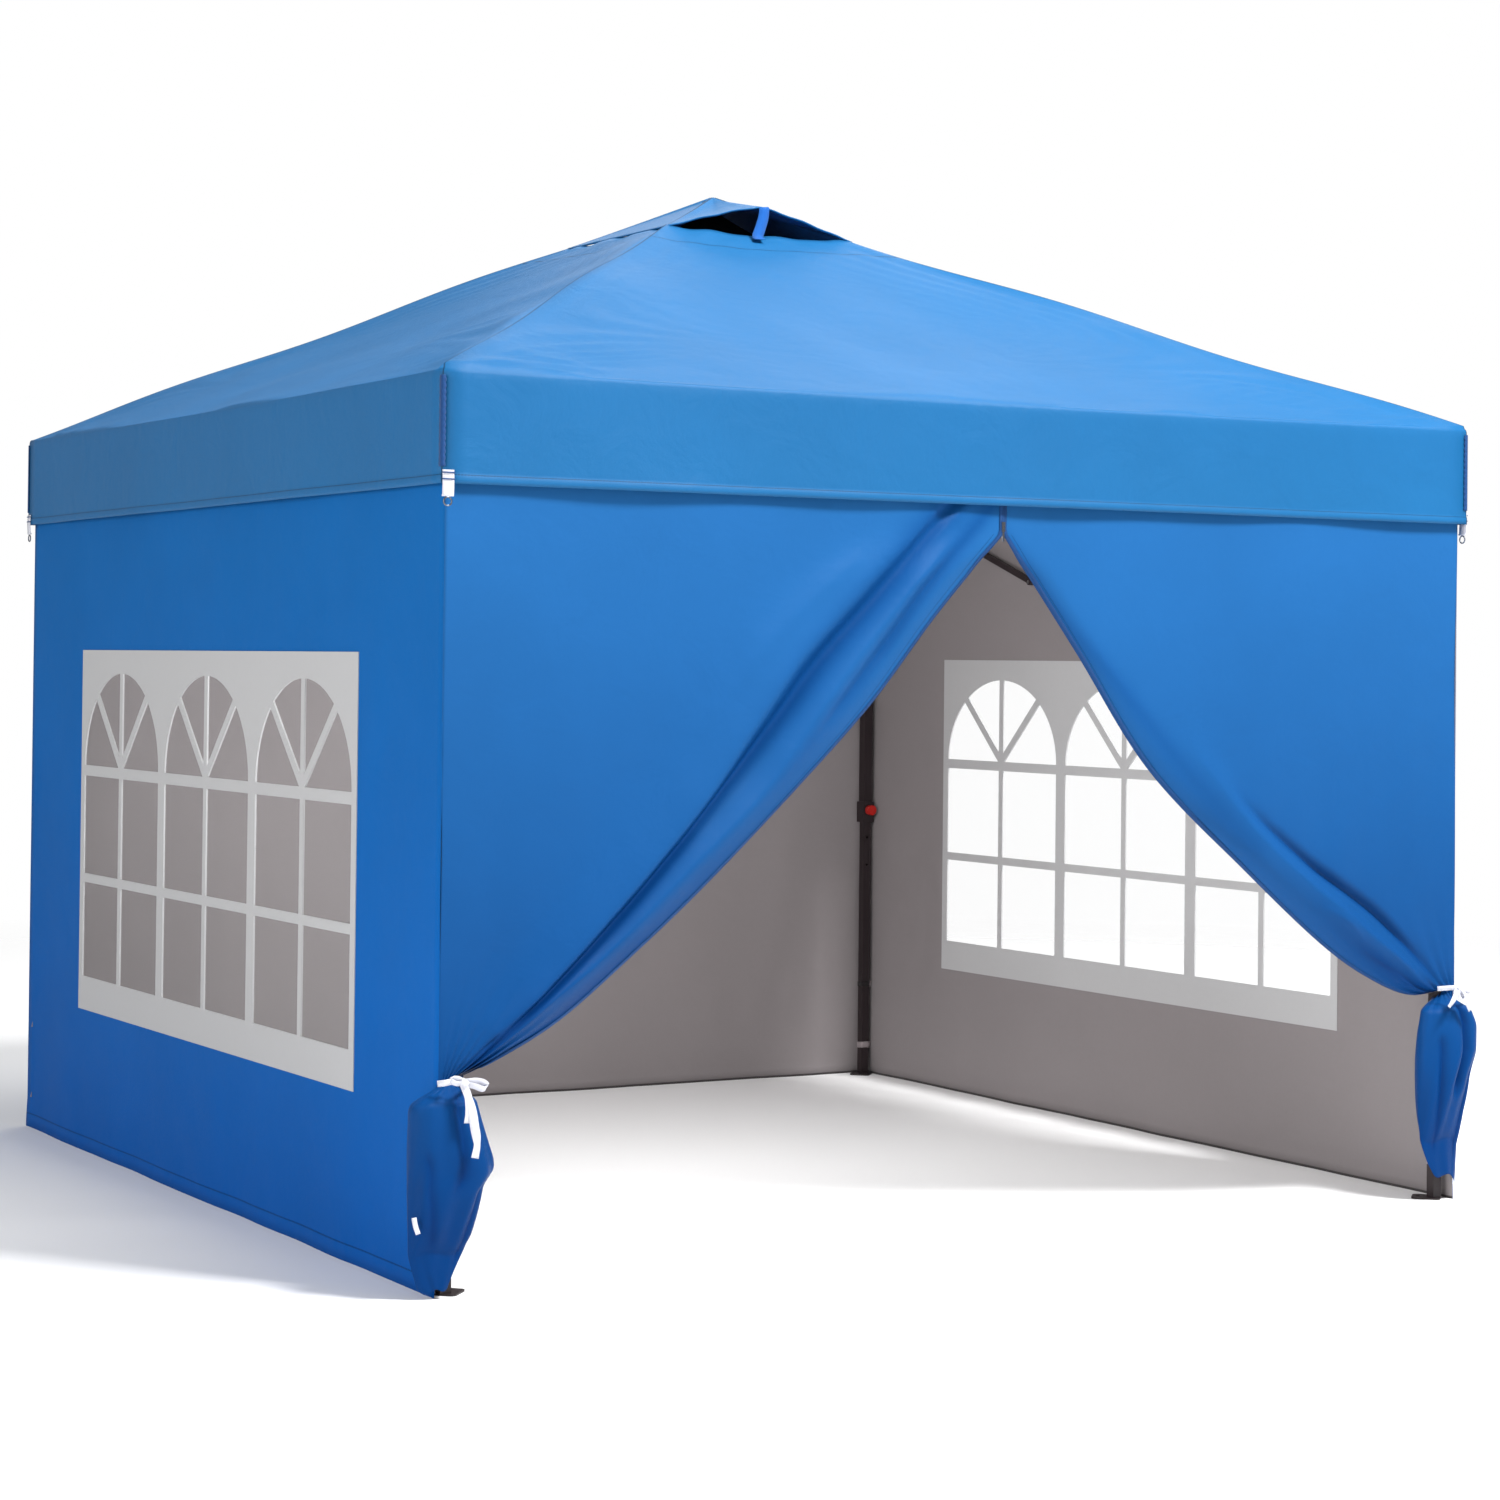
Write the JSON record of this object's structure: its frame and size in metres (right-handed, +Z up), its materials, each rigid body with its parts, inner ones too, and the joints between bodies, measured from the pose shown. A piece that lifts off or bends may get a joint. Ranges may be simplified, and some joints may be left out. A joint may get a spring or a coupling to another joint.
{
  "type": "pop up canopy",
  "caption": "Square folding pop up canopy with scissor-truss frame, telescoping legs, vented peaked roof, window side walls and a tied-back zip door",
  "frame": {"origin": "centre of the footprint, on the floor", "axes": "X to the right of the door side, Y from the door side to the plain back wall, Z up"},
  "size_m": [3.0052, 3.0052, 2.738],
  "materials": {
    "frame_steel": "satin",
    "slider_plastic": "matte",
    "knob_red": "gloss",
    "canopy_cloth": "matte",
    "wall_cloth": "matte",
    "clear_vinyl": "gloss",
    "window_tape": "matte",
    "webbing": "matte",
    "trim_metal": "polished"
  },
  "bodies": {
    "front_left_upper_leg": {"front_left_upper_leg": "frame_steel", "roof_cover": "canopy_cloth", "vent_cap": "canopy_cloth", "front_wall": "wall_cloth", "left_wall": "wall_cloth", "right_wall": "wall_cloth", "back_wall": "wall_cloth", "window_panes": "clear_vinyl", "window_frames": "window_tape", "corner_straps": "webbing", "metal_trim": "trim_metal", "wall_ties": "webbing"},
    "front_left_lower_leg": {"front_left_lower_leg": "frame_steel"},
    "front_left_slider": {"front_left_slider": "slider_plastic"},
    "front_left_height_knob": {"front_left_height_knob": "knob_red"},
    "front_left_outer_roof_arm": {"front_left_outer_roof_arm": "frame_steel"},
    "front_left_inner_roof_arm": {"front_left_inner_roof_arm": "frame_steel"},
    "front_right_upper_leg": {"front_right_upper_leg": "frame_steel"},
    "front_right_lower_leg": {"front_right_lower_leg": "frame_steel"},
    "front_right_slider": {"front_right_slider": "slider_plastic"},
    "front_right_height_knob": {"front_right_height_knob": "knob_red"},
    "front_right_outer_roof_arm": {"front_right_outer_roof_arm": "frame_steel"},
    "front_right_inner_roof_arm": {"front_right_inner_roof_arm": "frame_steel"},
    "back_right_upper_leg": {"back_right_upper_leg": "frame_steel"},
    "back_right_lower_leg": {"back_right_lower_leg": "frame_steel"},
    "back_right_slider": {"back_right_slider": "slider_plastic"},
    "back_right_height_knob": {"back_right_height_knob": "knob_red"},
    "back_right_outer_roof_arm": {"back_right_outer_roof_arm": "frame_steel"},
    "back_right_inner_roof_arm": {"back_right_inner_roof_arm": "frame_steel"},
    "back_left_upper_leg": {"back_left_upper_leg": "frame_steel"},
    "back_left_lower_leg": {"back_left_lower_leg": "frame_steel"},
    "back_left_slider": {"back_left_slider": "slider_plastic"},
    "back_left_height_knob": {"back_left_height_knob": "knob_red"},
    "back_left_outer_roof_arm": {"back_left_outer_roof_arm": "frame_steel"},
    "back_left_inner_roof_arm": {"back_left_inner_roof_arm": "frame_steel"},
    "front_truss_bar_1a": {"front_truss_bar_1a": "frame_steel"},
    "front_truss_bar_1b": {"front_truss_bar_1b": "frame_steel"},
    "front_truss_bar_2a": {"front_truss_bar_2a": "frame_steel"},
    "front_truss_bar_2b": {"front_truss_bar_2b": "frame_steel"},
    "front_truss_bar_3a": {"front_truss_bar_3a": "frame_steel"},
    "front_truss_bar_3b": {"front_truss_bar_3b": "frame_steel"},
    "right_truss_bar_1a": {"right_truss_bar_1a": "frame_steel"},
    "right_truss_bar_1b": {"right_truss_bar_1b": "frame_steel"},
    "right_truss_bar_2a": {"right_truss_bar_2a": "frame_steel"},
    "right_truss_bar_2b": {"right_truss_bar_2b": "frame_steel"},
    "right_truss_bar_3a": {"right_truss_bar_3a": "frame_steel"},
    "right_truss_bar_3b": {"right_truss_bar_3b": "frame_steel"},
    "back_truss_bar_1a": {"back_truss_bar_1a": "frame_steel"},
    "back_truss_bar_1b": {"back_truss_bar_1b": "frame_steel"},
    "back_truss_bar_2a": {"back_truss_bar_2a": "frame_steel"},
    "back_truss_bar_2b": {"back_truss_bar_2b": "frame_steel"},
    "back_truss_bar_3a": {"back_truss_bar_3a": "frame_steel"},
    "back_truss_bar_3b": {"back_truss_bar_3b": "frame_steel"},
    "left_truss_bar_1a": {"left_truss_bar_1a": "frame_steel"},
    "left_truss_bar_1b": {"left_truss_bar_1b": "frame_steel"},
    "left_truss_bar_2a": {"left_truss_bar_2a": "frame_steel"},
    "left_truss_bar_2b": {"left_truss_bar_2b": "frame_steel"},
    "left_truss_bar_3a": {"left_truss_bar_3a": "frame_steel"},
    "left_truss_bar_3b": {"left_truss_bar_3b": "frame_steel"},
    "center_hub": {"center_hub": "frame_steel"}
  },
  "joints": [
    {"name": "fold", "type": "hinge", "parent": "front_left_upper_leg", "child": "front_truss_bar_1a", "pos_m": [-1.39, -1.45, 2], "axis": [0, 1, 0], "range_deg": [0, 67.5], "deforming": ["roof_cover", "vent_cap", "front_wall", "left_wall", "right_wall", "back_wall", "window_panes", "window_frames", "corner_straps", "metal_trim", "wall_ties"]},
    {"name": "front_bar_1b_cross", "type": "hinge", "parent": "front_truss_bar_1a", "child": "front_truss_bar_1b", "pos_m": [-0.92667, -1.45, 1.84056], "axis": [0, -1, 0], "range_deg": [0, 135]},
    {"name": "front_bar_2b_joint", "type": "hinge", "parent": "front_truss_bar_1a", "child": "front_truss_bar_2b", "pos_m": [-0.46333, -1.45, 1.68111], "axis": [0, -1, 0], "range_deg": [0, 135]},
    {"name": "front_bar_2a_joint", "type": "hinge", "parent": "front_truss_bar_1b", "child": "front_truss_bar_2a", "pos_m": [-0.46333, -1.45, 2], "axis": [0, -1, 0], "range_deg": [-135, 0]},
    {"name": "front_bar_3b_joint", "type": "hinge", "parent": "front_truss_bar_2a", "child": "front_truss_bar_3b", "pos_m": [0.46333, -1.45, 1.68111], "axis": [0, -1, 0], "range_deg": [0, 135]},
    {"name": "front_bar_3a_joint", "type": "hinge", "parent": "front_truss_bar_2b", "child": "front_truss_bar_3a", "pos_m": [0.46333, -1.45, 2], "axis": [0, -1, 0], "range_deg": [-135, 0]},
    {"name": "front_right_leg_at_truss", "type": "hinge", "parent": "front_truss_bar_3b", "child": "front_right_upper_leg", "pos_m": [1.39, -1.45, 2], "axis": [0, -1, 0], "range_deg": [-67.5, 0]},
    {"name": "front_right_slider_at_truss", "type": "hinge", "parent": "front_truss_bar_3a", "child": "front_right_slider", "pos_m": [1.39, -1.45, 1.68111], "axis": [0, -1, 0], "range_deg": [0, 67.5]},
    {"name": "front_left_slider_at_truss", "type": "hinge", "parent": "front_truss_bar_1b", "child": "front_left_slider", "pos_m": [-1.39, -1.45, 1.68111], "axis": [0, -1, 0], "range_deg": [-67.5, 0]},
    {"name": "right_bar_1a_at_leg", "type": "hinge", "parent": "front_right_upper_leg", "child": "right_truss_bar_1a", "pos_m": [1.45, -1.39, 2], "axis": [1, 0, 0], "range_deg": [-67.5, 0]},
    {"name": "right_bar_1b_cross", "type": "hinge", "parent": "right_truss_bar_1a", "child": "right_truss_bar_1b", "pos_m": [1.45, -0.92667, 1.84056], "axis": [1, 0, 0], "range_deg": [0, 135]},
    {"name": "right_bar_2b_joint", "type": "hinge", "parent": "right_truss_bar_1a", "child": "right_truss_bar_2b", "pos_m": [1.45, -0.46333, 1.68111], "axis": [1, 0, 0], "range_deg": [0, 135]},
    {"name": "right_bar_2a_joint", "type": "hinge", "parent": "right_truss_bar_1b", "child": "right_truss_bar_2a", "pos_m": [1.45, -0.46333, 2], "axis": [1, 0, 0], "range_deg": [-135, 0]},
    {"name": "right_bar_3b_joint", "type": "hinge", "parent": "right_truss_bar_2a", "child": "right_truss_bar_3b", "pos_m": [1.45, 0.46333, 1.68111], "axis": [1, 0, 0], "range_deg": [0, 135]},
    {"name": "right_bar_3a_joint", "type": "hinge", "parent": "right_truss_bar_2b", "child": "right_truss_bar_3a", "pos_m": [1.45, 0.46333, 2], "axis": [1, 0, 0], "range_deg": [-135, 0]},
    {"name": "back_right_leg_at_truss", "type": "hinge", "parent": "right_truss_bar_3b", "child": "back_right_upper_leg", "pos_m": [1.45, 1.39, 2], "axis": [1, 0, 0], "range_deg": [-67.5, 0]},
    {"name": "back_right_slider_at_truss", "type": "hinge", "parent": "right_truss_bar_3a", "child": "back_right_slider", "pos_m": [1.45, 1.39, 1.68111], "axis": [1, 0, 0], "range_deg": [0, 67.5]},
    {"name": "left_bar_3b_at_leg", "type": "hinge", "parent": "front_left_upper_leg", "child": "left_truss_bar_3b", "pos_m": [-1.45, -1.39, 2], "axis": [-1, 0, 0], "range_deg": [0, 67.5]},
    {"name": "left_bar_3a_cross", "type": "hinge", "parent": "left_truss_bar_3b", "child": "left_truss_bar_3a", "pos_m": [-1.45, -0.92667, 1.84056], "axis": [-1, 0, 0], "range_deg": [-135, 0]},
    {"name": "left_bar_2a_joint", "type": "hinge", "parent": "left_truss_bar_3b", "child": "left_truss_bar_2a", "pos_m": [-1.45, -0.46333, 1.68111], "axis": [-1, 0, 0], "range_deg": [-135, 0]},
    {"name": "left_bar_2b_joint", "type": "hinge", "parent": "left_truss_bar_3a", "child": "left_truss_bar_2b", "pos_m": [-1.45, -0.46333, 2], "axis": [-1, 0, 0], "range_deg": [0, 135]},
    {"name": "left_bar_1a_joint", "type": "hinge", "parent": "left_truss_bar_2b", "child": "left_truss_bar_1a", "pos_m": [-1.45, 0.46333, 1.68111], "axis": [-1, 0, 0], "range_deg": [-135, 0]},
    {"name": "left_bar_1b_joint", "type": "hinge", "parent": "left_truss_bar_2a", "child": "left_truss_bar_1b", "pos_m": [-1.45, 0.46333, 2], "axis": [-1, 0, 0], "range_deg": [0, 135]},
    {"name": "back_left_leg_at_truss", "type": "hinge", "parent": "left_truss_bar_1a", "child": "back_left_upper_leg", "pos_m": [-1.45, 1.39, 2], "axis": [-1, 0, 0], "range_deg": [0, 67.5]},
    {"name": "back_left_slider_at_truss", "type": "hinge", "parent": "left_truss_bar_1b", "child": "back_left_slider", "pos_m": [-1.45, 1.39, 1.68111], "axis": [-1, 0, 0], "range_deg": [-67.5, 0]},
    {"name": "back_bar_3b_at_leg", "type": "hinge", "parent": "back_left_upper_leg", "child": "back_truss_bar_3b", "pos_m": [-1.39, 1.45, 2], "axis": [0, 1, 0], "range_deg": [0, 67.5]},
    {"name": "back_bar_3a_cross", "type": "hinge", "parent": "back_truss_bar_3b", "child": "back_truss_bar_3a", "pos_m": [-0.92667, 1.45, 1.84056], "axis": [0, 1, 0], "range_deg": [-135, 0]},
    {"name": "back_bar_2a_joint", "type": "hinge", "parent": "back_truss_bar_3b", "child": "back_truss_bar_2a", "pos_m": [-0.46333, 1.45, 1.68111], "axis": [0, 1, 0], "range_deg": [-135, 0]},
    {"name": "back_bar_2b_joint", "type": "hinge", "parent": "back_truss_bar_3a", "child": "back_truss_bar_2b", "pos_m": [-0.46333, 1.45, 2], "axis": [0, 1, 0], "range_deg": [0, 135]},
    {"name": "back_bar_1a_joint", "type": "hinge", "parent": "back_truss_bar_2b", "child": "back_truss_bar_1a", "pos_m": [0.46333, 1.45, 1.68111], "axis": [0, 1, 0], "range_deg": [-135, 0]},
    {"name": "back_bar_1b_joint", "type": "hinge", "parent": "back_truss_bar_2a", "child": "back_truss_bar_1b", "pos_m": [0.46333, 1.45, 2], "axis": [0, 1, 0], "range_deg": [0, 135]},
    {"name": "front_left_roof_arm_at_slider", "type": "hinge", "parent": "front_left_slider", "child": "front_left_outer_roof_arm", "pos_m": [-1.41818, -1.41818, 1.68111], "axis": [0.7071, -0.7071, 0], "range_deg": [0, 67.5]},
    {"name": "front_left_roof_arm_elbow", "type": "hinge", "parent": "front_left_outer_roof_arm", "child": "front_left_inner_roof_arm", "pos_m": [-0.72318, -0.72318, 2.01934], "axis": [0.7071, -0.7071, 0], "range_deg": [-135, 0]},
    {"name": "hub_at_roof_arm", "type": "hinge", "parent": "front_left_inner_roof_arm", "child": "center_hub", "pos_m": [-0.02818, -0.02818, 1.68111], "axis": [0.7071, -0.7071, 0], "range_deg": [0, 67.5]},
    {"name": "front_right_roof_arm_at_slider", "type": "hinge", "parent": "front_right_slider", "child": "front_right_outer_roof_arm", "pos_m": [1.41818, -1.41818, 1.68111], "axis": [0.7071, 0.7071, 0], "range_deg": [0, 67.5]},
    {"name": "front_right_roof_arm_elbow", "type": "hinge", "parent": "front_right_outer_roof_arm", "child": "front_right_inner_roof_arm", "pos_m": [0.72318, -0.72318, 2.01934], "axis": [0.7071, 0.7071, 0], "range_deg": [-135, 0]},
    {"name": "back_right_roof_arm_at_slider", "type": "hinge", "parent": "back_right_slider", "child": "back_right_outer_roof_arm", "pos_m": [1.41818, 1.41818, 1.68111], "axis": [-0.7071, 0.7071, 0], "range_deg": [0, 67.5]},
    {"name": "back_right_roof_arm_elbow", "type": "hinge", "parent": "back_right_outer_roof_arm", "child": "back_right_inner_roof_arm", "pos_m": [0.72318, 0.72318, 2.01934], "axis": [-0.7071, 0.7071, 0], "range_deg": [-135, 0]},
    {"name": "back_left_roof_arm_at_slider", "type": "hinge", "parent": "back_left_slider", "child": "back_left_outer_roof_arm", "pos_m": [-1.41818, 1.41818, 1.68111], "axis": [-0.7071, -0.7071, 0], "range_deg": [0, 67.5]},
    {"name": "back_left_roof_arm_elbow", "type": "hinge", "parent": "back_left_outer_roof_arm", "child": "back_left_inner_roof_arm", "pos_m": [-0.72318, 0.72318, 2.01934], "axis": [-0.7071, -0.7071, 0], "range_deg": [-135, 0]},
    {"name": "front_left_leg_height", "type": "slide", "parent": "front_left_upper_leg", "child": "front_left_lower_leg", "axis": [0, 0, 1], "range_m": [0, 0.85]},
    {"name": "front_left_knob_pull", "type": "slide", "parent": "front_left_upper_leg", "child": "front_left_height_knob", "axis": [0, 1, 0], "range_m": [0, 0.008], "stiffness_N_per_m": 800, "springref_m": -0.004},
    {"name": "front_right_leg_height", "type": "slide", "parent": "front_right_upper_leg", "child": "front_right_lower_leg", "axis": [0, 0, 1], "range_m": [0, 0.85]},
    {"name": "front_right_knob_pull", "type": "slide", "parent": "front_right_upper_leg", "child": "front_right_height_knob", "axis": [-1, 0, 0], "range_m": [0, 0.008], "stiffness_N_per_m": 800, "springref_m": -0.004},
    {"name": "back_right_leg_height", "type": "slide", "parent": "back_right_upper_leg", "child": "back_right_lower_leg", "axis": [0, 0, 1], "range_m": [0, 0.85]},
    {"name": "back_right_knob_pull", "type": "slide", "parent": "back_right_upper_leg", "child": "back_right_height_knob", "axis": [0, -1, 0], "range_m": [0, 0.008], "stiffness_N_per_m": 800, "springref_m": -0.004},
    {"name": "back_left_leg_height", "type": "slide", "parent": "back_left_upper_leg", "child": "back_left_lower_leg", "axis": [0, 0, 1], "range_m": [0, 0.85]},
    {"name": "back_left_knob_pull", "type": "slide", "parent": "back_left_upper_leg", "child": "back_left_height_knob", "axis": [1, 0, 0], "range_m": [0, 0.008], "stiffness_N_per_m": 800, "springref_m": -0.004}
  ],
  "couplings": [
    {"joint": "front_bar_1b_cross", "follows": "fold", "ratio": 2},
    {"joint": "front_bar_2b_joint", "follows": "fold", "ratio": 2},
    {"joint": "front_bar_2a_joint", "follows": "fold", "ratio": -2},
    {"joint": "front_bar_3b_joint", "follows": "fold", "ratio": 2},
    {"joint": "front_bar_3a_joint", "follows": "fold", "ratio": -2},
    {"joint": "front_right_leg_at_truss", "follows": "fold", "ratio": -1},
    {"joint": "front_right_slider_at_truss", "follows": "fold", "ratio": 1},
    {"joint": "front_left_slider_at_truss", "follows": "fold", "ratio": -1},
    {"joint": "right_bar_1a_at_leg", "follows": "fold", "ratio": -1},
    {"joint": "right_bar_1b_cross", "follows": "fold", "ratio": 2},
    {"joint": "right_bar_2b_joint", "follows": "fold", "ratio": 2},
    {"joint": "right_bar_2a_joint", "follows": "fold", "ratio": -2},
    {"joint": "right_bar_3b_joint", "follows": "fold", "ratio": 2},
    {"joint": "right_bar_3a_joint", "follows": "fold", "ratio": -2},
    {"joint": "back_right_leg_at_truss", "follows": "fold", "ratio": -1},
    {"joint": "back_right_slider_at_truss", "follows": "fold", "ratio": 1},
    {"joint": "left_bar_3b_at_leg", "follows": "fold", "ratio": 1},
    {"joint": "left_bar_3a_cross", "follows": "fold", "ratio": -2},
    {"joint": "left_bar_2a_joint", "follows": "fold", "ratio": -2},
    {"joint": "left_bar_2b_joint", "follows": "fold", "ratio": 2},
    {"joint": "left_bar_1a_joint", "follows": "fold", "ratio": -2},
    {"joint": "left_bar_1b_joint", "follows": "fold", "ratio": 2},
    {"joint": "back_left_leg_at_truss", "follows": "fold", "ratio": 1},
    {"joint": "back_left_slider_at_truss", "follows": "fold", "ratio": -1},
    {"joint": "back_bar_3b_at_leg", "follows": "fold", "ratio": 1},
    {"joint": "back_bar_3a_cross", "follows": "fold", "ratio": -2},
    {"joint": "back_bar_2a_joint", "follows": "fold", "ratio": -2},
    {"joint": "back_bar_2b_joint", "follows": "fold", "ratio": 2},
    {"joint": "back_bar_1a_joint", "follows": "fold", "ratio": -2},
    {"joint": "back_bar_1b_joint", "follows": "fold", "ratio": 2},
    {"joint": "front_left_roof_arm_at_slider", "follows": "fold", "ratio": 1},
    {"joint": "front_left_roof_arm_elbow", "follows": "fold", "ratio": -2},
    {"joint": "hub_at_roof_arm", "follows": "fold", "ratio": 1},
    {"joint": "front_right_roof_arm_at_slider", "follows": "fold", "ratio": 1},
    {"joint": "front_right_roof_arm_elbow", "follows": "fold", "ratio": -2},
    {"joint": "back_right_roof_arm_at_slider", "follows": "fold", "ratio": 1},
    {"joint": "back_right_roof_arm_elbow", "follows": "fold", "ratio": -2},
    {"joint": "back_left_roof_arm_at_slider", "follows": "fold", "ratio": 1},
    {"joint": "back_left_roof_arm_elbow", "follows": "fold", "ratio": -2}
  ]
}
